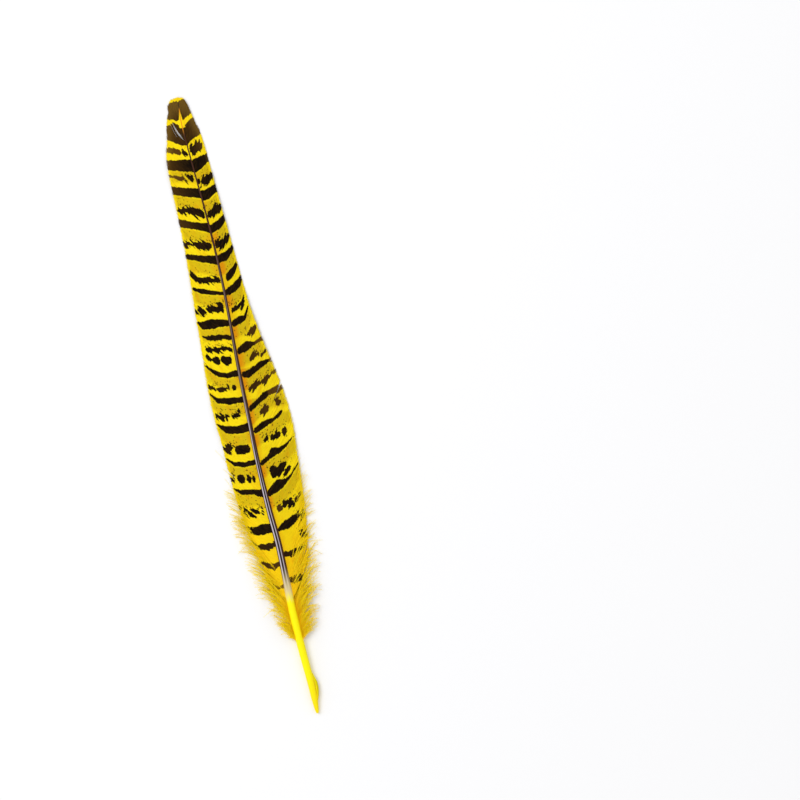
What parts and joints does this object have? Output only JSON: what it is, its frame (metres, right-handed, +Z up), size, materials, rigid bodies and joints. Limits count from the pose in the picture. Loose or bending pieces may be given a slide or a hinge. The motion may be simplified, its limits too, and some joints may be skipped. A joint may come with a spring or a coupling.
{
  "type": "pheasant tail feather",
  "caption": "Long yellow-dyed bird tail feather with dark crosswise bars, a slender shaft, soft down at its base and a bare quill, lying flat.",
  "frame": {"origin": "centre of the bounding box's bottom face, on the surface that the feather lies on", "axes": "+Y from the quill to the tip, +Z up from the surface, +X to the right when the tip points away and the patterned side is up"},
  "size_m": [0.036, 0.252, 0.0042],
  "materials": {
    "feather": "soft matt barbs, bright yellow with near-black crosswise bars"
  },
  "bodies": {
    "root": {"feather": "feather"}
  },
  "joints": []
}
